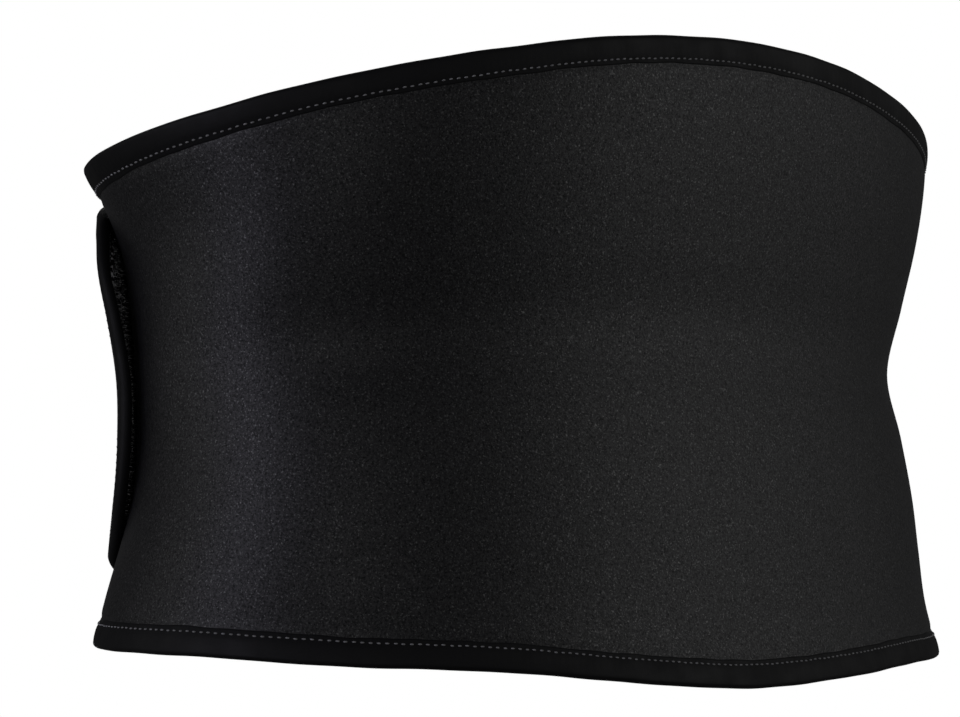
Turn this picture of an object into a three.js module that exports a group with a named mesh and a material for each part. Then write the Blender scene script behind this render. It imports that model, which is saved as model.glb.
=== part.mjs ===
// A contoured neoprene back support belt, closed as it is worn round the waist.
// Millimetres. +Z is up, +Y is the wearer's back, +X is the wearer's left side.
// The origin is the middle of the waist, level with the narrowest part of the belt.
import * as THREE from "three";

// The wearer's torso in plan, measured to the belt's inner face at its edges.
const HALF_WIDTH = 166.5; // side to side
const HALF_DEPTH = 93; // back to front
const SQUARENESS = 2.14; // exponent of the plan's superellipse, where 2 is an ellipse
const PLAN_FACETS = 84; // facets round the torso

// The torso draws in from the belt's edges to the waist.
const WAIST_TUCK = 16.5; // depth of the waist below the edges
const FRONT_TUCK = 10; // the same at the centre front

// The belt's height at the centre back, above and below the waist.
const RISE = 95;
const DROP = 109.3;

// Neoprene panel, with the knitted jersey that is laminated to both of its faces.
const PANEL = 3;
const EDGE_PANEL = 2; // where the binding squeezes its edge
const CLEARANCE = 0.3; // gap between pieces that touch on the real belt

// The closure: the flap comes round from the wearer's right and lies over the under end.
const FLAP_END = 0.575; // share of the half girth from the centre back, on the wearer's left
const OVERLAP = 130; // length of flap that lies over the under end
const FLAP_STEP = 55; // length over which the flap climbs on to the under layer
const STEP_MARGIN = 12; // flat length between that climb and the under end
const FREE_LENGTH = 50; // length at the flap's end that stands off the under layer
const CORNER = 48; // corner radius of both ends

// Binding tape, folded over every edge and sewn through.
const TAPE = 0.5; // thickness
const TAPE_WIDTH = 9; // width that shows on each face

// Hook tape, sewn inside the flap.
const HOOK_THICKNESS = 1.6;
const HOOK_LENGTH = 80;
const HOOK_MARGIN = 1.5; // distance from the binding
const HOOK_GAP = 0.5; // on either side of it, to the flap and to the under layer

// Upper and lower edge of the belt. Way is measured along the belt from the centre back, as a
// share of the half girth. Top and bottom are shares of RISE and DROP.
const EDGES = [
  { way: 0.0, top: 1.0, bottom: 1.0 },
  { way: 0.115, top: 0.973, bottom: 0.978 },
  { way: 0.23, top: 0.897, bottom: 0.941 },
  { way: 0.345, top: 0.798, bottom: 0.918 },
  { way: 0.46, top: 0.68, bottom: 0.883 },
  { way: 0.575, top: 0.595, bottom: 0.86 },
  { way: 0.75, top: 0.565, bottom: 0.81 },
  { way: 1.0, top: 0.545, bottom: 0.74 },
  { way: 1.5, top: 0.465, bottom: 0.575 },
];

// How deep the torso is tucked in at each level, as a share of the tuck. Level runs from the
// belt's lower edge to its upper edge. Double is the smoother profile of the doubled front, which
// the flap's free end keeps.
const TUCK = [
  { level: 0.0, back: 0.0, front: 0.02, double: 0.3 },
  { level: 0.1, back: 0.26, front: 0.26, double: 0.56 },
  { level: 0.2, back: 0.37, front: 0.54, double: 0.74 },
  { level: 0.3, back: 0.47, front: 0.81, double: 0.82 },
  { level: 0.42, back: 0.68, front: 0.94, double: 0.86 },
  { level: 0.55, back: 0.95, front: 0.93, double: 0.86 },
  { level: 0.68, back: 0.61, front: 0.88, double: 0.68 },
  { level: 0.8, back: 0.28, front: 0.78, double: 0.51 },
  { level: 0.9, back: 0.1, front: 0.42, double: 0.52 },
  { level: 1.0, back: 0.02, front: -0.1, double: 0.4 },
];
const BACK_PROFILE_TO = 0.32; // share of the half girth up to which the back profile holds
const FRONT_PROFILE_FROM = 0.55; // share from which the front profile holds
const DOUBLE_PROFILE_FROM = 0.75; // share from which the doubled front's profile holds

const { lerp, smoothstep, euclideanModulo } = THREE.MathUtils;

// A smooth curve through one column of a table. One that starts level mirrors without a kink.
function column(table, across, name, start = THREE.ZeroCurvatureEnding) {
  const curve = new THREE.CubicInterpolant(
    table.map((row) => row[across]),
    table.map((row) => row[name]),
    1,
  );
  curve.settings = { endingStart: start, endingEnd: THREE.ZeroCurvatureEnding };
  return (at) => curve.evaluate(at)[0];
}

const topShare = column(EDGES, "way", "top", THREE.ZeroSlopeEnding);
const bottomShare = column(EDGES, "way", "bottom", THREE.ZeroSlopeEnding);
const backTuck = column(TUCK, "level", "back");
const frontTuck = column(TUCK, "level", "front");
const doubleTuck = column(TUCK, "level", "double");

// The torso's plan as a closed superellipse. It starts at the centre back and runs to the
// wearer's left, in even steps of an ellipse's own angle.
class TorsoPlan extends THREE.Curve {
  getPoint(share, target = new THREE.Vector3()) {
    const turn = share * 2 * Math.PI;
    const bearing = Math.atan2(HALF_WIDTH * Math.sin(turn), HALF_DEPTH * Math.cos(turn));
    const side = Math.abs(Math.sin(bearing)) / HALF_WIDTH;
    const back = Math.abs(Math.cos(bearing)) / HALF_DEPTH;
    const radius = (side ** SQUARENESS + back ** SQUARENESS) ** (-1 / SQUARENESS);
    return target.set(radius * Math.sin(bearing), radius * Math.cos(bearing), 0);
  }
}

const STEPS_PER_FACET = 12; // fineness of the arc lengths
const plan = new TorsoPlan();
plan.arcLengthDivisions = PLAN_FACETS * STEPS_PER_FACET;
const girth = plan.getLength();
const halfGirth = girth / 2;
const facetPlaces = plan.getLengths().filter((_, k) => k % STEPS_PER_FACET === 0).slice(0, -1);

// Places along the belt are lengths from the centre back: positive to the wearer's left, where
// the under end is, and negative to the right and on round the front, where the flap ends.
const flapEnd = FLAP_END * halfGirth - girth;
const underEnd = FLAP_END * halfGirth + OVERLAP;
const climbEnd = underEnd + STEP_MARGIN - girth;
const climbStart = climbEnd + FLAP_STEP;
const flapLayer = PANEL + HOOK_THICKNESS + 2 * HOOK_GAP;

// Height of the edges at a place along the belt, before the corners are rounded.
const topLine = (along) => RISE * topShare(Math.abs(along) / halfGirth);
const bottomLine = (along) => -DROP * bottomShare(Math.abs(along) / halfGirth);

// How far the belt lies inside the torso's plan, at a place along it and a height.
function tuck(along, height) {
  const round = euclideanModulo(along, girth);
  const onTorso = Math.min(round, girth - round);
  const way = onTorso / halfGirth;
  const low = bottomLine(onTorso);
  const level = (height - low) / (topLine(onTorso) - low);
  const frontness = smoothstep(way, BACK_PROFILE_TO, FRONT_PROFILE_FROM);
  const onBody = lerp(backTuck(level), frontTuck(level), frontness);
  const free = 1 - smoothstep(along - flapEnd, 0, FREE_LENGTH);
  const doubled = smoothstep(way, FLAP_END, DOUBLE_PROFILE_FROM);
  const share = lerp(onBody, doubleTuck(level), Math.max(free, doubled));
  return share * lerp(WAIST_TUCK, FRONT_TUCK, smoothstep(way, FRONT_PROFILE_FROM, 1));
}

// How far the belt's inner face lies outside the torso: nothing, or on the under layer.
const layer = (along) => flapLayer * (1 - smoothstep(along, climbEnd, climbStart));

// A point of the belt: a length along it, a height, and a distance out from its inner face.
function beltPoint(along, height, out) {
  const share = euclideanModulo(along / girth, 1);
  const forward = plan.getTangentAt(share);
  const outward = new THREE.Vector3(-forward.y, forward.x, 0);
  const distance = out + layer(along) - tuck(along, height);
  return plan.getPointAt(share).addScaledVector(outward, distance).setZ(height);
}

// A closed solid between a near and a far skin with the same points. Quads run anticlockwise on
// the far skin, and so does the rim, the loop of points round its edge.
function solidBetween(near, far, quads, rim) {
  const count = near.length;
  const index = [];
  const quad = (a, b, c, d) => index.push(a, b, c, a, c, d);
  for (const [a, b, c, d] of quads) {
    quad(a + count, b + count, c + count, d + count);
    quad(b, a, d, c);
  }
  rim.forEach((from, k) => {
    const to = rim[(k + 1) % rim.length];
    quad(to + count, from + count, from, to);
  });
  const positions = [...near, ...far].flatMap((point) => point.toArray());
  const geometry = new THREE.BufferGeometry();
  geometry.setAttribute("position", new THREE.Float32BufferAttribute(positions, 3));
  geometry.setIndex(index);
  geometry.computeVertexNormals();
  return geometry;
}

const range = (count) => Array.from({ length: count }, (_, k) => k);

// Places, quads and rim of a grid. Seen from its far side, its columns run left and its rows up.
function gridOf(columns, rows) {
  const id = (i, j) => i * rows + j;
  const places = range(columns).flatMap((i) => range(rows).map((j) => [i, j]));
  const quads = range(columns - 1).flatMap((i) =>
    range(rows - 1).map((j) => [id(i, j), id(i, j + 1), id(i + 1, j + 1), id(i + 1, j)]),
  );
  const rim = [
    ...range(rows - 1).map((j) => id(0, j)),
    ...range(columns - 1).map((i) => id(i, rows - 1)),
    ...range(rows - 1).map((j) => id(columns - 1, rows - 1 - j)),
    ...range(columns - 1).map((i) => id(columns - 1 - i, 0)),
  ];
  return { places, quads, rim };
}

// A slab over a grid. point(i, j, far) gives a point of either skin.
function slab(columns, rows, point) {
  const { places, quads, rim } = gridOf(columns, rows);
  const skin = (far) => places.map(([i, j]) => point(i, j, far));
  return solidBetween(skin(false), skin(true), quads, rim);
}

// The torso's facet places from one place along the belt to another, with the two ends.
function stations(from, to) {
  const closest = girth / PLAN_FACETS / 2;
  const between = [-girth, 0]
    .flatMap((lap) => facetPlaces.map((place) => lap + place))
    .filter((place) => place > from + closest && place < to - closest);
  return [from, ...between, to];
}

// A column crosses the belt from its lower to its upper edge, between two points that lean along
// the belt by the same angle. It leans only round the corners, up to a right angle at an end.
const upright = (at) => ({ at, lean: 0 });
const CORNER_FACETS = 8; // facets round each corner
const leaning = range(CORNER_FACETS).map((k) => (Math.PI / 2) * (1 - k / CORNER_FACETS));
const flapCorner = leaning.map((lean) => ({ at: flapEnd + CORNER, lean: -lean }));
const underCorner = leaning.map((lean) => ({ at: underEnd - CORNER, lean })).reverse();

// The place in a column that lies inset from the edges, and up it by a share from 0 to 1.
function placeIn({ at, lean }, up, inset) {
  const reach = CORNER - inset;
  const rise = reach * Math.cos(lean) - CORNER;
  return {
    along: at + reach * Math.sin(lean),
    height: lerp(bottomLine(at) - rise, topLine(at) + rise, up),
  };
}

// The neoprene panel: a grid inside the binding's inner line, and a band from there to the edge.
const PANEL_BANDS = 10; // rows of facets between the two bindings
const rowShare = (j) => j / PANEL_BANDS;

function panelGeometry() {
  const columns = [
    ...flapCorner,
    ...stations(flapEnd + CORNER, underEnd - CORNER).map(upright),
    ...underCorner,
  ];
  const inner = gridOf(columns.length, PANEL_BANDS + 1);
  const edge = inner.rim.map((_, k) => inner.places.length + k);
  const band = edge.map((from, k) => {
    const next = (k + 1) % edge.length;
    return [from, edge[next], inner.rim[next], inner.rim[k]];
  });
  const point = ([i, j], inset, thickness, far) => {
    const { along, height } = placeIn(columns[i], rowShare(j), inset);
    return beltPoint(along, height, (PANEL + (far ? thickness : -thickness)) / 2);
  };
  const skin = (far) => [
    ...inner.places.map((place) => point(place, TAPE_WIDTH, PANEL, far)),
    ...inner.rim.map((k) => point(inner.places[k], 0, EDGE_PANEL, far)),
  ];
  return solidBetween(skin(false), skin(true), [...inner.quads, ...band], edge);
}

// The section of one skin of the folded tape, at a distance from the panel, from the tip of its
// inner leg round the panel's edge to the tip of its outer leg. Out is measured from the middle
// of the panel's thickness.
function tapeSection(distance) {
  const leg = PANEL / 2 + distance;
  const bend = EDGE_PANEL / 2 + distance;
  const nose = EDGE_PANEL / 2;
  return [
    { inset: TAPE_WIDTH, out: -leg },
    { inset: 0, out: -bend },
    { inset: -distance, out: -nose },
    { inset: -distance, out: nose },
    { inset: 0, out: bend },
    { inset: TAPE_WIDTH, out: leg },
  ];
}

// Tape along a run of columns, each with its share up from the lower edge.
function bindingGeometry(run) {
  const near = tapeSection(CLEARANCE);
  const away = tapeSection(CLEARANCE + TAPE);
  return slab(run.length, near.length, (i, j, far) => {
    const { inset, out } = (far ? away : near)[j];
    const { along, height } = placeIn(run[i].column, run[i].up, inset);
    return beltPoint(along, height, PANEL / 2 + out);
  });
}

const runAt = (up, columns) => columns.map((column) => ({ column, up }));
const runUp = (column) => range(PANEL_BANDS - 1).map((j) => ({ column, up: rowShare(j + 1) }));
const straightEdge = stations(flapEnd + CORNER + CLEARANCE, underEnd - CORNER - CLEARANCE).map(upright);
const flapRound = [...flapCorner, upright(flapEnd + CORNER)];
const underRound = [upright(underEnd - CORNER), ...underCorner];

const topRun = runAt(1, straightEdge).reverse();
const bottomRun = runAt(0, straightEdge);
const flapEndRun = [
  ...runAt(1, flapRound).reverse(),
  ...runUp(flapRound[0]).reverse(),
  ...runAt(0, flapRound),
];
const underEndRun = [
  ...runAt(0, underRound),
  ...runUp(underRound[CORNER_FACETS]),
  ...runAt(1, underRound).reverse(),
];

// Hook tape on the flap's inner face. It fills the flap's round end inside the binding.
function hookTapeGeometry() {
  const inset = TAPE_WIDTH + HOOK_MARGIN;
  const straight = stations(flapEnd + CORNER, flapEnd + inset + HOOK_LENGTH);
  const columns = [...flapCorner, ...straight.map(upright)];
  return slab(columns.length, PANEL_BANDS + 1, (i, j, far) => {
    const { along, height } = placeIn(columns[i], rowShare(j), inset);
    return beltPoint(along, height, -HOOK_GAP - (far ? 0 : HOOK_THICKNESS));
  });
}

const jersey = new THREE.MeshStandardMaterial({ color: "#232326", roughness: 0.9, metalness: 0 });
const tape = new THREE.MeshStandardMaterial({ color: "#19191b", roughness: 0.75, metalness: 0 });
const nylon = new THREE.MeshStandardMaterial({ color: "#0b0b0c", roughness: 0.45, metalness: 0 });

const belt = new THREE.Group();
function add(name, geometry, material) {
  const mesh = new THREE.Mesh(geometry, material);
  mesh.name = name;
  belt.add(mesh);
}
add("neoprene_panel", panelGeometry(), jersey);
add("top_binding", bindingGeometry(topRun), tape);
add("bottom_binding", bindingGeometry(bottomRun), tape);
add("flap_end_binding", bindingGeometry(flapEndRun), tape);
add("under_end_binding", bindingGeometry(underEndRun), tape);
add("hook_tape", hookTapeGeometry(), nylon);

export default belt;
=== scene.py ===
# %% [markdown]
# # A back support belt
#
# A back support belt is one long piece of neoprene, tall at the back and narrower in front. Its
# edges are bound with tape, and hook tape closes it over itself. It is soft, but here it is shown
# as it looks when it is worn, drawn in at the waist like an hourglass.
#
# The solids of the belt come first and stay where they are. Everything below dresses them, so each
# new piece has to lie in the room of the solid that it stands for.

# %% Load the solids
import math

import bmesh
import bpy
import numpy as np
from mathutils import Matrix


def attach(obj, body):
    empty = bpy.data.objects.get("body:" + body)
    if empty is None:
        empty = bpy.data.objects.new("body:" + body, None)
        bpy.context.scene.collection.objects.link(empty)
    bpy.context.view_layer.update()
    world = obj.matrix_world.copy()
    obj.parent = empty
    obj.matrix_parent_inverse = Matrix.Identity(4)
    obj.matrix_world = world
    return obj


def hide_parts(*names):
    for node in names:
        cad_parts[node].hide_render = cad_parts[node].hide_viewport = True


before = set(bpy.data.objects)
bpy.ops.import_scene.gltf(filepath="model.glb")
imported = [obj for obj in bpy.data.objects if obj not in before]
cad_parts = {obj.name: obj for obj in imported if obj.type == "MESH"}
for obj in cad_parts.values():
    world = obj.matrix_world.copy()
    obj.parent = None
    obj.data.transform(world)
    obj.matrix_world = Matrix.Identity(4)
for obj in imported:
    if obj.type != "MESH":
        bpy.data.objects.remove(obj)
scene = bpy.context.scene
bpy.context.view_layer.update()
print("solids:", sorted(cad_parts))

# %% [markdown]
# ## The camera
#
# The camera comes before any shape. The belt was seen from behind and from the wearer's left,
# by a long lens at about the height of the belt's lower edge that looked up a little. A long lens
# makes the near side hardly larger than the far side. The camera is built from its bearing, pitch
# and roll, and isn't aimed by eye, so that each of them can be changed by itself.

# %% Place the camera
MM = 0.001
BEARING = math.radians(45)  # of the camera, from the wearer's left side towards the back
PITCH = math.radians(3.93)  # upwards
ROLL = math.radians(0.86)
AWAY = 1400 * MM  # from the camera to the middle of the waist, along its line of sight
SIDESTEP = 16.9 * MM  # from that line to the middle of the waist
LENS_MM = 157.8
SENSOR_MM = 36.0

rightward = np.array([-math.cos(BEARING), math.sin(BEARING), 0.0])
level = np.array([-math.sin(BEARING), -math.cos(BEARING), 0.0])
upright = np.array([0.0, 0.0, 1.0])
forward = level * math.cos(PITCH) + upright * math.sin(PITCH)
upward = upright * math.cos(PITCH) - level * math.sin(PITCH)

axes = np.eye(4)
axes[:3, 0] = rightward * math.cos(ROLL) - upward * math.sin(ROLL)
axes[:3, 1] = rightward * math.sin(ROLL) + upward * math.cos(ROLL)
axes[:3, 2] = -forward
axes[:3, 3] = -rightward * SIDESTEP - forward * AWAY

camera = bpy.data.objects.new("camera", bpy.data.cameras.new("camera"))
camera.data.sensor_width = SENSOR_MM
camera.data.lens = LENS_MM
camera.matrix_world = Matrix(axes.tolist())
scene.collection.objects.link(camera)
scene.camera = camera
print("camera at", [round(float(value), 3) for value in axes[:3, 3]], "metres")

# %% [markdown]
# ## The torso's plan
#
# Seen from above, the belt follows the waist. A superellipse describes that outline with only
# three numbers: the half width, the half depth and how square it is. It could be a curve object,
# but each later piece needs to know where it lies along the belt, so the outline is kept as a
# list of points with their distance from the centre back.

# %% Measure the plan
HALF_WIDTH = 166.5 * MM
HALF_DEPTH = 93 * MM
SQUARENESS = 2.14
PLAN_STEPS = 1008

turn = np.linspace(0, 2 * math.pi, PLAN_STEPS + 1)
aim = np.arctan2(HALF_WIDTH * np.sin(turn), HALF_DEPTH * np.cos(turn))
across = np.abs(np.sin(aim)) / HALF_WIDTH
back = np.abs(np.cos(aim)) / HALF_DEPTH
radius = (across**SQUARENESS + back**SQUARENESS) ** (-1 / SQUARENESS)
plan = np.stack([radius * np.sin(aim), radius * np.cos(aim)], axis=1)
plan_way = np.concatenate([[0], np.cumsum(np.linalg.norm(np.diff(plan, axis=0), axis=1))])
ahead = np.roll(plan[:-1], -1, axis=0) - np.roll(plan[:-1], 1, axis=0)
ahead = np.concatenate([ahead, ahead[:1]])
plan_forward = ahead / np.linalg.norm(ahead, axis=1, keepdims=True)
GIRTH = plan_way[-1]
HALF_GIRTH = GIRTH / 2
print(f"girth at the edges {GIRTH / MM:.0f} mm")

# %% [markdown]
# ## The cut of the belt
#
# A belt like this is cut flat from one sheet. Two edge lines and two round ends describe the cut.
# The edge lines are smooth curves through a few listed heights, the same as in the solids.
# The flap comes round from the wearer's right, and lies over the other end in front.

# %% Draw the edge lines
RISE = 95 * MM
DROP = 109.3 * MM
FLAP_SHARE = 0.575
OVERLAP = 130 * MM
CORNER = 48 * MM
FLAP_END = FLAP_SHARE * HALF_GIRTH - GIRTH
UNDER_END = FLAP_SHARE * HALF_GIRTH + OVERLAP
EDGES = {
    "way": [0.0, 0.115, 0.23, 0.345, 0.46, 0.575, 0.75, 1.0, 1.5],
    "top": [1.0, 0.973, 0.897, 0.798, 0.68, 0.595, 0.565, 0.545, 0.465],
    "bottom": [1.0, 0.978, 0.941, 0.918, 0.883, 0.86, 0.81, 0.74, 0.575],
}


def column(table, key, name, level_start=False):
    """A smooth curve through one column of a table. A level start mirrors without a kink."""
    at, values = np.array(table[key]), np.array(table[name])
    rates = np.diff(values) / np.diff(at)
    slopes = np.concatenate([rates[:1], (rates[:-1] + rates[1:]) / 2, rates[-1:]])
    if level_start:
        slopes[0] = 0

    def curve(where):
        where = np.clip(where, at[0], at[-1])
        k = np.clip(np.searchsorted(at, where, side="right") - 1, 0, len(at) - 2)
        width = at[k + 1] - at[k]
        t = (where - at[k]) / width
        start = (2 * t**3 - 3 * t**2 + 1) * values[k] + (t**3 - 2 * t**2 + t) * width * slopes[k]
        stop = (3 * t**2 - 2 * t**3) * values[k + 1] + (t**3 - t**2) * width * slopes[k + 1]
        return start + stop

    return curve


top_share = column(EDGES, "way", "top", level_start=True)
bottom_share = column(EDGES, "way", "bottom", level_start=True)


def top_line(along):
    """The height of the upper edge, without the round ends."""
    return RISE * top_share(np.abs(along) / HALF_GIRTH)


def bottom_line(along):
    """The height of the lower edge, without the round ends."""
    return -DROP * bottom_share(np.abs(along) / HALF_GIRTH)


def edge_distance(along, height):
    """The distance from the belt's edge, up to the radius of its corners."""
    at = np.clip(along, FLAP_END + CORNER, UNDER_END - CORNER)
    sideways = np.abs(along - at)
    below = bottom_line(at) + CORNER - height
    above = height - top_line(at) + CORNER
    return CORNER - np.hypot(sideways, np.maximum(np.maximum(below, above), 0))


print(f"flat length {(UNDER_END - FLAP_END) / MM:.0f} mm, height {(RISE + DROP) / MM:.0f} mm")

# %% [markdown]
# ## The form of the waist
#
# What makes the belt look worn is the waist inside it. The back draws in to one sharp crease a
# little above the middle, where the spine curves. The sides draw in as a broad hollow. Three
# profiles, mixed by their place round the body, give that form, and one function turns a place on
# the flat cut into a point in space. Every piece below is placed by it, so nothing can drift apart.
# The flap is one layer further out than the rest. Only the rim of its upper and lower edge is
# pressed down a little near the free end, as a hand leaves it when it closes the belt.

# %% Wrap the cut round the waist
WAIST_TUCK = 16.5 * MM
FRONT_TUCK = 10 * MM
PANEL = 3 * MM
HOOK_THICKNESS = 1.6 * MM
HOOK_GAP = 0.5 * MM
FLAP_STEP = 55 * MM
STEP_MARGIN = 12 * MM
FREE_LENGTH = 50 * MM
CLIMB_END = UNDER_END + STEP_MARGIN - GIRTH
CLIMB_START = CLIMB_END + FLAP_STEP
FLAP_LAYER = PANEL + HOOK_THICKNESS + 2 * HOOK_GAP
PRESS_TOP = 2.0 * MM  # by which the flap's upper rim lies closer to the under layer
PRESS_BOTTOM = 1.4 * MM
PRESS_TOP_HEIGHT = 12 * MM  # down from the upper edge line
PRESS_BOTTOM_HEIGHT = 21.6 * MM
PRESS_FULL = 3 * MM  # from the edge, and from there on the press fades
PRESS_WIDTH = 10 * MM
PRESS_LENGTH = 96 * MM  # along the flap from its end, and from there on the press fades
PRESS_STOP = 124.8 * MM
BACK_PROFILE_TO = 0.32
FRONT_PROFILE_FROM = 0.55
DOUBLE_PROFILE_FROM = 0.75
TUCK = {
    "level": [0.0, 0.1, 0.2, 0.3, 0.42, 0.55, 0.68, 0.8, 0.9, 1.0],
    "back": [0.0, 0.26, 0.37, 0.47, 0.68, 0.95, 0.61, 0.28, 0.1, 0.02],
    "front": [0.02, 0.26, 0.54, 0.81, 0.94, 0.93, 0.88, 0.78, 0.42, -0.1],
    "double": [0.3, 0.56, 0.74, 0.82, 0.86, 0.86, 0.68, 0.51, 0.52, 0.4],
}
back_tuck = column(TUCK, "level", "back")
front_tuck = column(TUCK, "level", "front")
double_tuck = column(TUCK, "level", "double")


def ease(value, start, stop):
    """Goes smoothly from 0 at start to 1 at stop."""
    t = np.clip((value - start) / (stop - start), 0, 1)
    return t * t * (3 - 2 * t)


def mix(a, b, share):
    """Between a, at a share of 0, and b, at a share of 1."""
    return a + (b - a) * share


def tuck(along, height):
    """How far the belt lies inside the torso's plan."""
    place = np.mod(along, GIRTH)
    on_torso = np.minimum(place, GIRTH - place)
    way = on_torso / HALF_GIRTH
    low = bottom_line(on_torso)
    rise = (height - low) / (top_line(on_torso) - low)
    frontness = ease(way, BACK_PROFILE_TO, FRONT_PROFILE_FROM)
    on_body = mix(back_tuck(rise), front_tuck(rise), frontness)
    free = 1 - ease(along - FLAP_END, 0, FREE_LENGTH)
    doubled = ease(way, FLAP_SHARE, DOUBLE_PROFILE_FROM)
    share = mix(on_body, double_tuck(rise), np.maximum(free, doubled))
    return share * mix(WAIST_TUCK, FRONT_TUCK, ease(way, FRONT_PROFILE_FROM, 1))


def press(along, height):
    """How much closer the flap's upper and lower rim lie to the under layer near its end."""
    at = np.maximum(along, FLAP_END + CORNER)
    low, high = bottom_line(at), top_line(at)
    upper = ease(height, high - PRESS_TOP_HEIGHT, high)
    lower = ease(-height, -low - PRESS_BOTTOM_HEIGHT, -low)
    near_rim = 1 - ease(edge_distance(along, height), PRESS_FULL, PRESS_WIDTH)
    near_end = 1 - ease(along - FLAP_END, PRESS_LENGTH, PRESS_STOP)
    return (PRESS_TOP * upper + PRESS_BOTTOM * lower) * near_rim * near_end


def belt_point(along, height, out):
    """Points in space. Out is measured from the panel's inner face, away from the body."""
    place = np.mod(along, GIRTH)
    ahead_x, ahead_y = (np.interp(place, plan_way, plan_forward[:, k]) for k in (0, 1))
    plan_x, plan_y = (np.interp(place, plan_way, plan[:, k]) for k in (0, 1))
    layer = FLAP_LAYER * (1 - ease(along, CLIMB_END, CLIMB_START))
    reach = out + layer - tuck(along, height) - press(along, height)
    return np.stack([plan_x - ahead_y * reach, plan_y + ahead_x * reach, height], axis=-1)


def place_in(at, lean, up, inset):
    """A place on the cut. A column stands at a place along the belt and leans round a corner."""
    reach = CORNER - inset
    rise = reach * np.cos(lean) - CORNER
    low, high = bottom_line(at) - rise, top_line(at) + rise
    return at + reach * np.sin(lean), mix(low, high, up)


waist = belt_point(np.array([0.0]), np.array([0.0]), PANEL)[0]
print(f"outer face at the centre back: {waist[1] / MM:.1f} mm behind the middle of the waist")

# %% [markdown]
# ## Nodes and colours
#
# Three small helpers carry all the materials. One turns a colour that was read from a picture,
# which is sRGB, into the linear colour that the renderer works in. One adds a node with its
# settings and links. The last turns a real size in millimetres into a texture scale, because a
# pattern only looks right at its true size.

# %% Write the material helpers
def colour(hex_value):
    """An sRGB hex colour as linear RGBA."""
    parts = [int(hex_value[k : k + 2], 16) / 255 for k in (1, 3, 5)]
    linear = [p / 12.92 if p <= 0.04045 else ((p + 0.055) / 1.055) ** 2.4 for p in parts]
    return (*linear, 1.0)


def node(tree, kind, inputs=None, **settings):
    """Adds a node. An input is a value, or another node's output to link."""
    made = tree.nodes.new(kind)
    for name, value in settings.items():
        setattr(made, name, value)
    for name, value in (inputs or {}).items():
        if isinstance(value, bpy.types.NodeSocket):
            tree.links.new(value, made.inputs[name])
        else:
            made.inputs[name].default_value = value
    return made


def scale_for(size_mm):
    """The scale of a texture whose marks are that large. Texture space is in metres."""
    return 1 / (size_mm * MM)


def new_material(name):
    """An empty material, its node tree and its output node."""
    made = bpy.data.materials.new(name)
    made.use_nodes = True
    made.node_tree.nodes.clear()
    return made, made.node_tree, node(made.node_tree, "ShaderNodeOutputMaterial")


print("a mark of 1 mm has the texture scale", scale_for(1))

# %% [markdown]
# ## Brushed jersey
#
# Neoprene is sold with nylon jersey glued to both faces. Here the jersey's loops are brushed up,
# so that hook tape holds on it anywhere. Nylon fibres are smooth, so the pile keeps a low gloss:
# most of the light sinks in between the fibres, and single fibres throw it back as grey specks.
# The pile could be hair, but on black cloth at this distance only the specks show. So they are a
# noise of about 0.8 mm on top of a finer grain, which lightens the dye, raises the surface and
# above all varies how much the cloth reflects. A second noise adds a few brighter sparks, a wide
# one mottles the dye a little, and a trace of sheen softens the rim.

# %% Make the jersey
SPECK_MM = 0.8
GRAIN_MM = 0.32
SPARK_MM = 0.6
CLOUD_MM = 16.0
GRAIN_SHARE = 0.3
PILE_DEPTH = 0.3 * MM

jersey, tree, output = new_material("brushed nylon jersey")
space = node(tree, "ShaderNodeTexCoord")
specks = node(
    tree,
    "ShaderNodeTexNoise",
    {"Vector": space.outputs["Object"], "Scale": scale_for(SPECK_MM), "Detail": 3.0, "Roughness": 0.7},
)
grain = node(
    tree,
    "ShaderNodeTexNoise",
    {"Vector": space.outputs["Object"], "Scale": scale_for(GRAIN_MM), "Detail": 2.0},
)
clouds = node(
    tree,
    "ShaderNodeTexNoise",
    {"Vector": space.outputs["Object"], "Scale": scale_for(CLOUD_MM), "Detail": 4.0},
)
pile = node(
    tree,
    "ShaderNodeMix",
    {"Factor": GRAIN_SHARE, "A": specks.outputs["Fac"], "B": grain.outputs["Fac"]},
    data_type="FLOAT",
)
fibres = node(
    tree,
    "ShaderNodeMapRange",
    {"Value": pile.outputs["Result"], "From Min": 0.38, "From Max": 0.68},
)
mottle = node(
    tree,
    "ShaderNodeMapRange",
    {"Value": clouds.outputs["Fac"], "From Min": 0.3, "From Max": 0.7, "To Min": 0.9, "To Max": 1.1},
)
dye = node(
    tree,
    "ShaderNodeMix",
    {"Factor": fibres.outputs["Result"], "A": colour("#0c0c0e"), "B": colour("#1d1d20")},
    data_type="RGBA",
)
faded = node(
    tree,
    "ShaderNodeVectorMath",
    {"Vector": dye.outputs["Result"], "Scale": mottle.outputs["Result"]},
    operation="SCALE",
)
gloss = node(
    tree,
    "ShaderNodeMapRange",
    {
        "Value": pile.outputs["Result"],
        "From Min": 0.36,
        "From Max": 0.66,
        "To Min": 0.16,
        "To Max": 0.84,
    },
)
sparks = node(
    tree,
    "ShaderNodeTexNoise",
    {"Vector": space.outputs["Object"], "Scale": scale_for(SPARK_MM), "Detail": 1.0},
)
spark = node(
    tree,
    "ShaderNodeMapRange",
    {"Value": sparks.outputs["Fac"], "From Min": 0.6, "From Max": 0.8, "To Max": 1.8},
)
shine = node(
    tree,
    "ShaderNodeMath",
    {0: gloss.outputs["Result"], 1: spark.outputs["Result"]},
    operation="ADD",
)
raised = node(
    tree,
    "ShaderNodeBump",
    {"Height": pile.outputs["Result"], "Strength": 0.55, "Distance": PILE_DEPTH},
)
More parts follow.
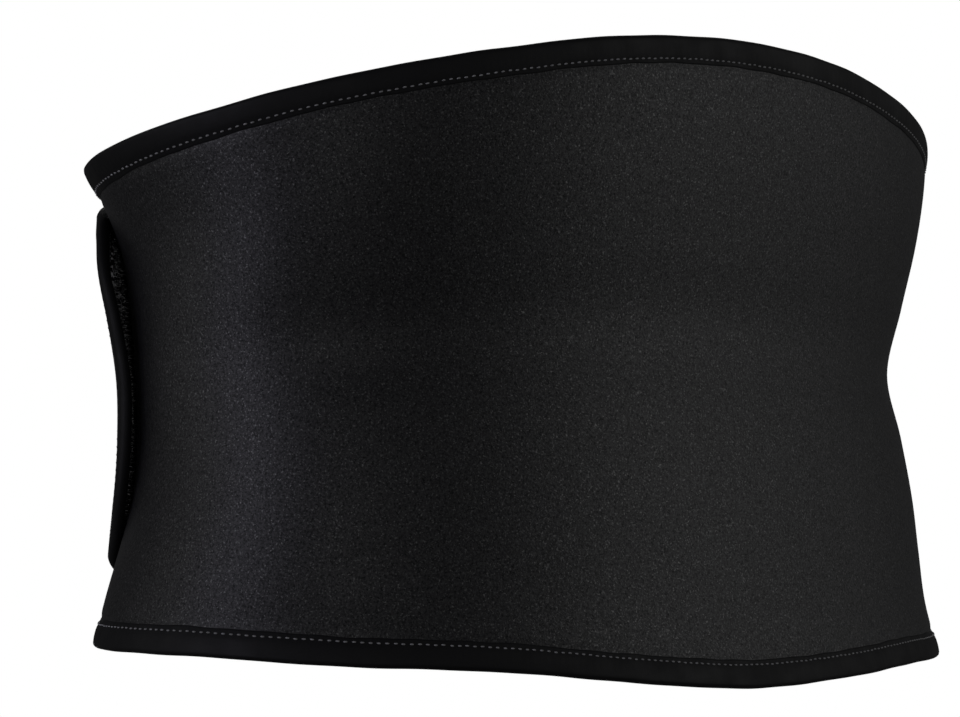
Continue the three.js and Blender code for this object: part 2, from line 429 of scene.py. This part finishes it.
jersey_shader = node(
    tree,
    "ShaderNodeBsdfPrincipled",
    {
        "Base Color": faded.outputs["Vector"],
        "Roughness": 0.46,
        "Specular IOR Level": shine.outputs["Value"],
        "Sheen Weight": 0.04,
        "Sheen Roughness": 0.45,
        "Sheen Tint": colour("#8a8a92"),
        "Normal": raised.outputs["Normal"],
    },
)
tree.links.new(jersey_shader.outputs["BSDF"], output.inputs["Surface"])
print("jersey specks every", SPECK_MM, "mm")

# %% [markdown]
# ## Woven binding tape
#
# The binding is a thin elastic tape, woven flat from nylon. It is smoother than the jersey and
# nearly without pile, so it looks a little blacker where no light falls on it, and takes a dull
# gloss where light grazes its rounded edge. Its threads are about 0.3 mm apart, which is one
# pixel here, so the weave is drawn at 0.45 mm, as coarse as it needs to be to show at all.

# %% Make the tape
WEAVE_MM = 0.45
WEAR_MM = 9
WEAVE_DEPTH = 0.12 * MM

tape, tree, output = new_material("woven elastic tape")
space = node(tree, "ShaderNodeTexCoord")
weave = node(
    tree,
    "ShaderNodeTexNoise",
    {"Vector": space.outputs["Object"], "Scale": scale_for(WEAVE_MM), "Detail": 1.0},
)
wear = node(
    tree,
    "ShaderNodeTexNoise",
    {"Vector": space.outputs["Object"], "Scale": scale_for(WEAR_MM), "Detail": 3.0},
)
worn = node(
    tree,
    "ShaderNodeMapRange",
    {"Value": wear.outputs["Fac"], "From Min": 0.35, "From Max": 0.65, "To Min": 0.52, "To Max": 0.64},
)
dye = node(
    tree,
    "ShaderNodeMix",
    {"Factor": weave.outputs["Fac"], "A": colour("#0d0d0e"), "B": colour("#171719")},
    data_type="RGBA",
)
raised = node(
    tree,
    "ShaderNodeBump",
    {"Height": weave.outputs["Fac"], "Strength": 0.35, "Distance": WEAVE_DEPTH},
)
tape_shader = node(
    tree,
    "ShaderNodeBsdfPrincipled",
    {
        "Base Color": dye.outputs["Result"],
        "Roughness": worn.outputs["Result"],
        "Specular IOR Level": 0.25,
        "Normal": raised.outputs["Normal"],
    },
)
tree.links.new(tape_shader.outputs["BSDF"], output.inputs["Surface"])
print("tape weave drawn every", WEAVE_MM, "mm")

# %% [markdown]
# ## Sewing thread and hook nylon
#
# The thread is spun polyester, dyed grey. Each stitch stands up as a little rod, so it reads
# lighter than the tape that it lies on. The hooks are drawn nylon, which is black, smooth and
# clear under its dye. Their glints are painted: a noise with a steep step gives some of them a
# near-white colour, a painted highlight, so the gap shows single glints and no even grey band.
# The band shares this material, so it carries the painted glints too.

# %% Make the thread and the hooks
TWIST_MM = 0.25
# size of the near-white patches that paint glints on the hooks and the band
PAINTED_GLINT_MM = 1.5

thread, tree, output = new_material("spun polyester thread")
space = node(tree, "ShaderNodeTexCoord")
twist = node(
    tree,
    "ShaderNodeTexNoise",
    {"Vector": space.outputs["Object"], "Scale": scale_for(TWIST_MM), "Detail": 1.0},
)
dye = node(
    tree,
    "ShaderNodeMix",
    {"Factor": twist.outputs["Fac"], "A": colour("#6c6c6e"), "B": colour("#b8b8ba")},
    data_type="RGBA",
)
thread_shader = node(
    tree,
    "ShaderNodeBsdfPrincipled",
    {"Base Color": dye.outputs["Result"], "Roughness": 0.5, "Specular IOR Level": 0.5},
)
tree.links.new(thread_shader.outputs["BSDF"], output.inputs["Surface"])

nylon, tree, output = new_material("nylon hooks with painted glints")
space = node(tree, "ShaderNodeTexCoord")
# painted highlight: a steep step of this noise turns some hooks, and patches of the band, near-white in
# place of real glints on black nylon
tint = node(
    tree,
    "ShaderNodeTexNoise",
    {"Vector": space.outputs["Object"], "Scale": scale_for(PAINTED_GLINT_MM), "Detail": 1.0},
)
painted_glint_step = node(
    tree,
    "ShaderNodeMapRange",
    {"Value": tint.outputs["Fac"], "From Min": 0.5, "From Max": 0.62},
)
# colour B is the painted glint; colour A is the nylon's own black
dye = node(
    tree,
    "ShaderNodeMix",
    {"Factor": painted_glint_step.outputs["Result"], "A": colour("#202022"), "B": colour("#f6f6f8")},
    data_type="RGBA",
)
nylon_shader = node(
    tree,
    "ShaderNodeBsdfPrincipled",
    {"Base Color": dye.outputs["Result"], "Roughness": 0.25, "IOR": 1.53, "Specular IOR Level": 1.0},
)
tree.links.new(nylon_shader.outputs["BSDF"], output.inputs["Surface"])
print("materials:", [made.name for made in (jersey, tape, thread, nylon)])

# %% [markdown]
# ## From places to meshes
#
# Every piece is a grid of points that belt_point has placed, so one helper can join neighbours
# into four-sided faces, and another can turn points and faces into a piece of the belt.

# %% Write the mesh helpers
def grid_faces(columns, rows, closed=False):
    """The faces of a grid of points, numbered column by column. A closed grid joins its last row
    to its first."""
    number = np.arange(columns * rows).reshape(columns, rows)
    if closed:
        number = np.concatenate([number, number[:, :1]], axis=1)
    sides = [number[:-1, :-1], number[:-1, 1:], number[1:, 1:], number[1:, :-1]]
    return np.stack([side.ravel() for side in sides], axis=1)


def slab_faces(columns, rows):
    """The faces of two equal grids, one after the other, that are joined round their rim."""
    count = columns * rows
    number = np.arange(count).reshape(columns, rows)
    rim = np.concatenate([number[0, :-1], number[:-1, -1], number[-1, :0:-1], number[:0:-1, 0]])
    onward = np.roll(rim, -1)
    skin = grid_faces(columns, rows)
    wall = np.stack([rim, onward, onward + count, rim + count], axis=1)
    return np.concatenate([skin, skin[:, ::-1] + count, wall])


def add_piece(name, points, faces, material):
    """A piece of the belt from its points and faces, shaded smooth and with its faces outwards."""
    mesh = bpy.data.meshes.new(name)
    mesh.from_pydata(points.reshape(-1, 3).tolist(), [], [list(map(int, face)) for face in faces])
    work = bmesh.new()
    work.from_mesh(mesh)
    bmesh.ops.recalc_face_normals(work, faces=work.faces)
    work.to_mesh(mesh)
    work.free()
    mesh.shade_smooth()
    mesh.materials.append(material)
    piece = bpy.data.objects.new(name, mesh)
    scene.collection.objects.link(piece)
    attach(piece, "root")
    triangles = sum(len(face) - 2 for face in faces)
    print(f"{name}: {triangles} triangles")
    return piece


def steps(start, stop, step):
    """Places from start to stop, about a step apart."""
    return np.linspace(start, stop, max(2, round(abs(stop - start) / step) + 1))


# %% [markdown]
# ## The neoprene panel
#
# The foam is 3 mm thick and springy. Where the binding and its stitches squeeze it, it is thinner,
# and it swells back to its full thickness within a few millimetres of the tape. That swell catches
# the light, and it is what makes the edge look sewn and not drawn. The panel could be a plane
# with a Solidify modifier, but its thickness changes near the edge, so both skins are built, with
# extra rows close to the tape, and joined round the rim.

# %% Build the panel
EDGE_PANEL = 2 * MM
TAPE_WIDTH = 8.2 * MM
SWELL = 2.6 * MM  # width over which the foam swells back beside the tape
SWELL_UNDER = 0.52 * MM  # by which the swell already starts under the tape
PANEL_STEP = 2.1 * MM
CORNER_STEPS = 34
MIDDLE_ROWS = 62
EDGE_ROWS_MM = [0, 3, 5.6, 7, 7.8, 8.5, 9.2, 10, 11, 12.6]


def panel_half(distance):
    """Half the panel's thickness at a distance from its edge."""
    swell = ease(distance, TAPE_WIDTH - SWELL_UNDER, TAPE_WIDTH + SWELL)
    return mix(EDGE_PANEL, PANEL, swell) / 2


FLAP_AT = FLAP_END + CORNER  # where the flap's corners begin
UNDER_AT = UNDER_END - CORNER
corner_lean = np.linspace(0, math.pi / 2, CORNER_STEPS)
straight = steps(FLAP_AT, UNDER_AT, PANEL_STEP)
column_at = np.concatenate(
    [np.full(CORNER_STEPS - 1, FLAP_AT), straight, np.full(CORNER_STEPS - 1, UNDER_AT)]
)
column_lean = np.concatenate([-corner_lean[:0:-1], np.zeros(len(straight)), corner_lean[1:]])

_, column_low = place_in(column_at, column_lean, 0, 0)
_, column_high = place_in(column_at, column_lean, 1, 0)
span = (column_high - column_low)[:, None]
edge_rows = np.array(EDGE_ROWS_MM)[None, :] * MM / span
middle_share = np.linspace(0, 1, MIDDLE_ROWS)[None, 1:-1]
middle_rows = mix(edge_rows[:, -1:], 1 - edge_rows[:, -1:], middle_share)
row_up = np.concatenate([edge_rows, middle_rows, 1 - edge_rows[:, ::-1]], axis=1)
along, height = place_in(column_at[:, None], column_lean[:, None], row_up, 0)
along = along + np.zeros_like(height)
half = panel_half(edge_distance(along, height))

inner_skin = belt_point(along, height, PANEL / 2 - half)
outer_skin = belt_point(along, height, PANEL / 2 + half)
panel_skins = np.concatenate([inner_skin, outer_skin])
panel = add_piece("belt_panel", panel_skins, slab_faces(*height.shape), jersey)
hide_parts("neoprene_panel")

# %% [markdown]
# ## Runs along the edge
#
# The tape and its stitches follow the same lines round the belt. A run is such a line: a list of
# columns with the share up each of them. It is measured along the stitch line and cut into even
# steps, so that stitches have the same pitch on the long edges and round the corners.

# %% Lay out the runs
STITCH_INSET = 6.7 * MM
STITCH_PITCH = 2.5 * MM
PITCH_STEPS = 4  # columns of the tape for each stitch
RUN_GAP = 0.15 * MM  # between the tape of an edge and the tape of an end
LEG_POINTS = 1200


def run(*legs):
    """A run through legs, each with the start and the stop of its column, lean and share up. It
    gives columns, leans, shares and distances in even steps along the stitch line."""
    share = np.linspace(0, 1, LEG_POINTS)
    at, lean, up = (
        np.concatenate([mix(leg[k][0], leg[k][1], share) for leg in legs]) for k in range(3)
    )
    where, high = place_in(at, lean, up, STITCH_INSET)
    line = belt_point(where, high, PANEL)
    way = np.concatenate([[0], np.cumsum(np.linalg.norm(np.diff(line, axis=0), axis=1))])
    even = np.linspace(0, way[-1], round(way[-1] / STITCH_PITCH) * PITCH_STEPS + 1)
    return *(np.interp(even, way, value) for value in (at, lean, up)), even


QUARTER = math.pi / 2
top_run = run(((FLAP_AT + RUN_GAP, UNDER_AT - RUN_GAP), (0, 0), (1, 1)))
bottom_run = run(((FLAP_AT + RUN_GAP, UNDER_AT - RUN_GAP), (0, 0), (0, 0)))
flap_run = run(
    ((FLAP_AT, FLAP_AT), (0, -QUARTER), (1, 1)),
    ((FLAP_AT, FLAP_AT), (-QUARTER, -QUARTER), (1, 0)),
    ((FLAP_AT, FLAP_AT), (-QUARTER, 0), (0, 0)),
)
under_run = run(
    ((UNDER_AT, UNDER_AT), (0, QUARTER), (0, 0)),
    ((UNDER_AT, UNDER_AT), (QUARTER, QUARTER), (0, 1)),
    ((UNDER_AT, UNDER_AT), (QUARTER, 0), (1, 1)),
)
print("run lengths:", [f"{r[3][-1] / MM:.0f} mm" for r in (top_run, bottom_run, flap_run, under_run)])

# %% [markdown]
# ## The folded tape
#
# The tape is folded over the edge and sewn through, 6.7 mm from the edge. The section below is one
# leg of it: a cut edge that is sunk into the foam, a slope up past the stitch line, a soft pad
# between that line and the fold, and the round fold itself. The needle holes pull the stitch line
# deeper every 2.5 mm, so the pad puckers slightly. A bevelled curve would give the fold, but not
# the slope and the puckers, so the section is swept along the run point by point.

# %% Build the binding
TAPE_FACE = {  # one leg of the tape, in millimetres from the edge and from the panel's middle
    "inset": [8.25, 8.2, 7.7, 7.2, 6.7, 6.2, 5.6, 4.6, 3.5, 2.4, 1.3],
    "out": [1.04, 1.2, 1.32, 1.48, 1.6, 1.72, 1.86, 1.98, 2.02, 2.02, 1.92],
}
TAPE_BACK = {"inset": [8.1, 6.7, 4.0, 1.3, 0.35], "out": [1.02, 1.14, 1.14, 1.06, 0.6]}
FOLD_POINTS = 9
FOLD_REACH_MM = 0.8
PUCKER = 0.13 * MM
PAD_PUCKER = 0.05 * MM
GROOVE_WIDTH = 0.8 * MM
PAD_INSET = 4.4 * MM
PAD_WIDTH = 1.8 * MM
EDGE_WANDER = 0.16 * MM  # how far the cut edge strays
FOLD_WANDER = 0.096 * MM
EDGE_WAVE = 90 * MM
FOLD_WAVE = 140 * MM
EDGE_FROM = 5 * MM  # inset from which the tape strays with its cut edge
WAVES = 4
WAVE_SHRINK = 1.3
WAVE_SUM = 2.2  # divides the sum of the waves, which seldom all peak together

rng = np.random.default_rng(11)


def stray(way, amount, longest):
    """A smooth irregular line, the sum of a few waves with chosen lengths."""
    phases = rng.uniform(0, 2 * math.pi, WAVES)
    lengths = [longest / (k + 1) ** WAVE_SHRINK for k in range(WAVES)]
    waves = [np.sin(2 * math.pi * way / lengths[k] + phases[k]) for k in range(WAVES)]
    return amount * sum(waves) / WAVE_SUM


def tape_section():
    """The tape's section as a closed loop, in metres: insets and distances out."""
    face_in, face_out = (np.array(TAPE_FACE[key]) * MM for key in ("inset", "out"))
    back_in, back_out = (np.array(TAPE_BACK[key]) * MM for key in ("inset", "out"))
    angle = np.linspace(0, math.pi, FOLD_POINTS + 2)[1:-1]
    fold_in = face_in[-1] - (face_in[-1] + FOLD_REACH_MM * MM) * np.sin(angle)
    fold_out = face_out[-1] * np.cos(angle)
    inset = np.concatenate([face_in, fold_in, face_in[::-1], back_in, back_in[::-1]])
    out = np.concatenate([face_out, fold_out, -face_out[::-1], -back_out, back_out[::-1]])
    return inset, out


def add_binding(name, node_name, line):
    """The tape's section swept along a run, in place of one binding of the solids."""
    at, lean, up, way = line
    inset, out = tape_section()
    stray_edge = stray(way, EDGE_WANDER, EDGE_WAVE)
    stray_fold = stray(way, FOLD_WANDER, FOLD_WAVE)
    near_edge = ease(inset, EDGE_FROM, TAPE_WIDTH)
    shift = stray_edge[:, None] * near_edge + stray_fold[:, None] * (1 - near_edge)
    pull = 0.5 + 0.5 * np.cos(2 * math.pi * way / STITCH_PITCH)
    groove = np.exp(-(((inset - STITCH_INSET) / GROOVE_WIDTH) ** 2))
    pad = np.exp(-(((inset - PAD_INSET) / PAD_WIDTH) ** 2))
    pulled = pull[:, None] * (PUCKER * groove - PAD_PUCKER * pad) * np.sign(out)
    where, high = place_in(at[:, None], lean[:, None], up[:, None], inset + shift)
    points = belt_point(where, high, PANEL / 2 + out - pulled)
    count_in, rows_in = points.shape[:2]
    faces = grid_faces(count_in, rows_in, closed=True).tolist()
    faces += [list(range(rows_in)), list(range((count_in - 1) * rows_in, count_in * rows_in))]
    piece = add_piece(name, points, faces, tape)
    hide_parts(node_name)
    return piece


bindings = [
    add_binding("top_tape", "top_binding", top_run),
    add_binding("bottom_tape", "bottom_binding", bottom_run),
    add_binding("flap_end_tape", "flap_end_binding", flap_run),
    add_binding("under_end_tape", "under_end_binding", under_run),
]

# %% [markdown]
# ## Stitches
#
# A lockstitch shows on each face as a row of short threads, each diving into a needle hole at
# both ends. They could be one bump line in the material, but real threads stand in the groove and
# throw their own shadow. So each stitch is a small rod that is thick in the middle and sinks at
# its ends, and all of a run are joined in one mesh.

# %% Sew the binding
STITCH_LENGTH = 1.25 * MM
THREAD = 0.52 * MM  # diameter
STITCH_RINGS = 5
STITCH_SIDES = 6
GROOVE_OUT = 1.54 * MM  # of the stitch line, from the panel's middle
STITCH_JITTER = 0.05 * MM


def rods(centres_of, number_of):
    """Rods for stitches. centres_of(ring share) gives where each ring is: the columns, leans,
    shares, insets and distances out of its middle."""
    angle = np.linspace(0, 2 * math.pi, STITCH_SIDES, endpoint=False)
    points = np.zeros((number_of, STITCH_RINGS, STITCH_SIDES, 3))
    for ring, share in enumerate(np.linspace(-1, 1, STITCH_RINGS)):
        at, lean, up, inset, out = centres_of(share)
        thick = THREAD / 2 * (1 - 0.55 * share**4)
        ring_in = inset[:, None] + thick * np.cos(angle)
        ring_out = out[:, None] + thick * np.sin(angle)
        where, high = place_in(at[:, None], lean[:, None], up[:, None], ring_in)
        points[:, ring] = belt_point(where, high, PANEL / 2 + ring_out)
    rod = grid_faces(STITCH_RINGS, STITCH_SIDES, closed=True).tolist()
    each = STITCH_RINGS * STITCH_SIDES
    caps = [list(range(STITCH_SIDES)), list(range(each - STITCH_SIDES, each))]
    faces = [[corner + k * each for corner in face] for k in range(number_of) for face in rod + caps]
    return points.reshape(-1, 3), faces


def add_stitches(name, lines, inset, levels):
    """A row of stitches along each line, at each level out from the panel's middle."""
    all_points, all_faces = [], []
    for at, lean, up, way in lines:
        middles = np.arange(STITCH_PITCH / 2, way[-1], STITCH_PITCH)
        jitter = rng.normal(0, STITCH_JITTER, (2, len(middles)))
        for level_out in levels:
            side = math.copysign(1, level_out)

            def centres(share):
                place = middles + jitter[0] + share * STITCH_LENGTH / 2
                values = [np.interp(place, way, value) for value in (at, lean, up)]
                lift = THREAD * (0.3 - 0.5 * share**2)
                return *values, inset + jitter[1], level_out + side * (lift + np.zeros(len(middles)))

            points, faces = rods(centres, len(middles))
            start = sum(map(len, all_points))
            all_points.append(points)
            all_faces += [[corner + start for corner in face] for face in faces]
    return add_piece(name, np.concatenate(all_points), all_faces, thread)


both_faces = (GROOVE_OUT, -GROOVE_OUT)
stitches = [
    add_stitches("top_stitches", [top_run], STITCH_INSET, both_faces),
    add_stitches("bottom_stitches", [bottom_run], STITCH_INSET, both_faces),
    add_stitches("end_stitches", [flap_run, under_run], STITCH_INSET, both_faces),
]

# %% [markdown]
# ## The hook tape
#
# Hook tape is a thin woven band with rows of stiff nylon hooks. The band is sewn inside the flap,
# and its hooks face the belt's outside, whose brushed loops they catch. It follows the flap's end
# with its round corners, just inside the tape. It could be left out, being nearly hidden, but it
# closes the gap behind the flap, and the hooks need something to stand on.

# %% Build the hook tape
HOOK_LENGTH = 80 * MM
TAPE_GAP = 0.6 * MM  # between the binding and the band
HOOK_INSET = TAPE_WIDTH + TAPE_GAP
BAND = 0.6 * MM
BAND_TOP = -0.04 * MM  # the face that lies on the flap, measured from the panel's inner face
BAND_STEPS = 30
BAND_STEP = 2 * MM

band_start = FLAP_END + HOOK_INSET
band_stop = band_start + HOOK_LENGTH
band_at = np.concatenate(
    [np.full(CORNER_STEPS - 1, FLAP_AT), steps(FLAP_AT, band_stop, BAND_STEP)]
)
band_lean = np.concatenate([-corner_lean[:0:-1], np.zeros(len(band_at) - CORNER_STEPS + 1)])
band_up = np.linspace(0, 1, BAND_STEPS)
where, high = place_in(band_at[:, None], band_lean[:, None], band_up[None, :], HOOK_INSET)
where = where + np.zeros_like(high)
band_skins = np.concatenate([belt_point(where, high, out) for out in (BAND_TOP - BAND, BAND_TOP)])
band = add_piece("hook_band", band_skins, slab_faces(*high.shape), nylon)
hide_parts("hook_tape")

# %% [markdown]
# ## The hooks
#
# In the gap behind the flap only the hooks' bright sides show, partly lit and partly a painted
# glint in their colour, so they are real small hooks here: five straight lengths of wire each,
# upright at first and then bent over, in rows that face both ways in turn.
# Each hook strays a little from its place, or the view along the rows would show stripes.

# %% Plant the hooks
HOOK_PITCH = 1.75 * MM
HOOK_ROW = 1.5 * MM
HOOK_MARGIN = 0.6 * MM  # from the band's edge
STOP_MARGIN = 1.0 * MM  # from its straight end
WIRE = 0.2 * MM  # diameter
WIRE_SIDES = 4
HOOK_LINE = {  # a hook's middle line, in millimetres along the belt and down from the band
    "sideways": [0.0, 0.0, 0.12, 0.42, 0.72, 0.8],
    "down": [0.0, 0.72, 1.12, 1.34, 1.16, 0.9],
}

hook_along, hook_row = np.meshgrid(
    np.arange(band_start, band_stop, HOOK_PITCH),
    np.arange(round(2 * RISE / HOOK_ROW)),
    indexing="ij",
)
hook_height = -DROP + hook_row * HOOK_ROW
hook_along = hook_along + (hook_row % 2) * HOOK_PITCH / 2
inside = edge_distance(hook_along, hook_height) > HOOK_INSET + HOOK_MARGIN
inside &= hook_along < band_stop - STOP_MARGIN
hook_along, hook_height, hook_row = (value[inside] for value in (hook_along, hook_height, hook_row))
hook_count = len(hook_along)
hook_along = hook_along + rng.normal(0, 0.3 * MM, hook_count)
hook_height = hook_height + rng.normal(0, 0.26 * MM, hook_count)
facing = np.where(hook_row % 2 == 0, 1.0, -1.0)
tall = 1 + rng.normal(0, 0.05, hook_count)
lean_over = rng.normal(0, 0.1, hook_count)

corner_angle = np.linspace(0, 2 * math.pi, WIRE_SIDES, endpoint=False)
line_side, line_down = (np.array(HOOK_LINE[key]) * MM for key in ("sideways", "down"))
run_side, run_down = np.gradient(line_side), np.gradient(line_down)
size = np.hypot(run_side, run_down)
hook_rings = len(line_side)
hook_points = np.zeros((hook_count, hook_rings, WIRE_SIDES, 3))
for k in range(hook_rings):
    off_side = WIRE / 2 * np.cos(corner_angle) * run_down[k] / size[k]
    off_down = -WIRE / 2 * np.cos(corner_angle) * run_side[k] / size[k]
    down = line_down[k] * tall[:, None] + off_down
    sideways = facing[:, None] * (line_side[k] + off_side)
    upwards = WIRE / 2 * np.sin(corner_angle) + lean_over[:, None] * line_down[k]
    hook_points[:, k] = belt_point(
        hook_along[:, None] + sideways, hook_height[:, None] + upwards, BAND_TOP - BAND - down
    )
each = hook_rings * WIRE_SIDES
hook = grid_faces(hook_rings, WIRE_SIDES, closed=True).tolist()
hook += [list(range(WIRE_SIDES)), list(range(each - WIRE_SIDES, each))]
hook_faces = [[corner + k * each for corner in face] for k in range(hook_count) for face in hook]
hooks = add_piece("hooks", hook_points, hook_faces, nylon)

# %% [markdown]
# ## The floor
#
# A product shot on white stands over a white board. It lies well below the belt, so no shadow
# falls on it in the picture. It could be an invisible shadow catcher, but it shows in the views
# from above, so it glows a little by itself, and it neither lights the cloth nor is mirrored in it.

# %% Add the floor
FLOOR_DEPTH = 300 * MM  # below the waist
FLOOR_RADIUS = 4.0
FLOOR_SIDES = 96
PAINT_MM = 3
PAINT_DEPTH = 0.1 * MM

floor_material, tree, output = new_material("painted board")
space = node(tree, "ShaderNodeTexCoord")
paint = node(
    tree,
    "ShaderNodeTexNoise",
    {"Vector": space.outputs["Object"], "Scale": scale_for(PAINT_MM), "Detail": 3.0},
)
raised = node(
    tree,
    "ShaderNodeBump",
    {"Height": paint.outputs["Fac"], "Strength": 0.1, "Distance": PAINT_DEPTH},
)
floor_shader = node(
    tree,
    "ShaderNodeBsdfPrincipled",
    {
        "Base Color": colour("#d8d8d6"),
        "Roughness": 0.7,
        "Emission Color": colour("#ffffff"),
        "Emission Strength": 0.7,
        "Normal": raised.outputs["Normal"],
    },
)
tree.links.new(floor_shader.outputs["BSDF"], output.inputs["Surface"])

round_about = np.linspace(0, 2 * math.pi, FLOOR_SIDES, endpoint=False)
floor_mesh = bpy.data.meshes.new("floor")
floor_mesh.from_pydata(
    [(FLOOR_RADIUS * math.cos(a), FLOOR_RADIUS * math.sin(a), -FLOOR_DEPTH) for a in round_about],
    [],
    [list(range(len(round_about)))],
)
floor_mesh.materials.append(floor_material)
floor = bpy.data.objects.new("floor", floor_mesh)
floor.visible_diffuse = False
floor.visible_glossy = False
scene.collection.objects.link(floor)

# %% [markdown]
# ## The light
#
# Black cloth only shows its form where it reflects something bright. So a tall softbox stands on
# each side of the camera, and a second, weaker one further round on each side draws the outline.
# Between them the cloth falls off into a dark band. The left one is a little bluish, as in the
# photograph. A narrow strip close to the camera's bearing reaches into the gap behind the flap,
# and one more box lights the front. The white behind the belt is only seen by the camera and
# lights nothing, or it would grey out the black.

# %% Add the light
WORLD_DIM = 0.053

scene.view_settings.view_transform = "Standard"
world = bpy.data.worlds.new("studio")
world.use_nodes = True
world.node_tree.nodes.clear()
seen = node(world.node_tree, "ShaderNodeLightPath")
dim = node(world.node_tree, "ShaderNodeBackground", {"Color": colour("#ffffff"), "Strength": WORLD_DIM})
white = node(world.node_tree, "ShaderNodeBackground", {"Color": colour("#ffffff"), "Strength": 1.0})
either = node(world.node_tree, "ShaderNodeMixShader", {"Fac": seen.outputs["Is Camera Ray"]})
world.node_tree.links.new(dim.outputs["Background"], either.inputs[1])
world.node_tree.links.new(white.outputs["Background"], either.inputs[2])
node(world.node_tree, "ShaderNodeOutputWorld", {"Surface": either.outputs["Shader"]})
scene.world = world


def softbox(name, bearing, distance, height_at, width, tall_by, watts, tint="#ffffff"):
    """A softbox that faces the belt. Its bearing is measured from the camera's, in degrees, and
    the other sizes are in metres."""
    lamp = bpy.data.lights.new(name, "AREA")
    lamp.shape = "RECTANGLE"
    lamp.size, lamp.size_y, lamp.energy = width, tall_by, watts
    lamp.color = colour(tint)[:3]
    box = bpy.data.objects.new(name, lamp)
    angle = BEARING + math.radians(bearing)
    box.location = (distance * math.cos(angle), distance * math.sin(angle), height_at)
    box.rotation_euler = (-box.location).to_track_quat("-Z", "Y").to_euler()
    scene.collection.objects.link(box)
    return box


softboxes = [
    softbox("near_left_softbox", -43, 1.3, 0.15, 0.6, 1.3, 2.85, "#eeecff"),
    softbox("far_left_softbox", -80, 1.3, 0.15, 0.5, 1.3, 1.0),
    softbox("camera_strip", 5, 1.2, 0.0, 0.1, 0.9, 0.6),
    softbox("near_right_softbox", 79, 1.3, 0.15, 0.7, 1.3, 1.75),
    softbox("far_right_softbox", 110, 1.3, 0.15, 0.6, 1.3, 0.45),
    softbox("front_softbox", 180, 1.6, 0.4, 0.8, 1.2, 5),
]
print("softboxes:", [box.name for box in softboxes])
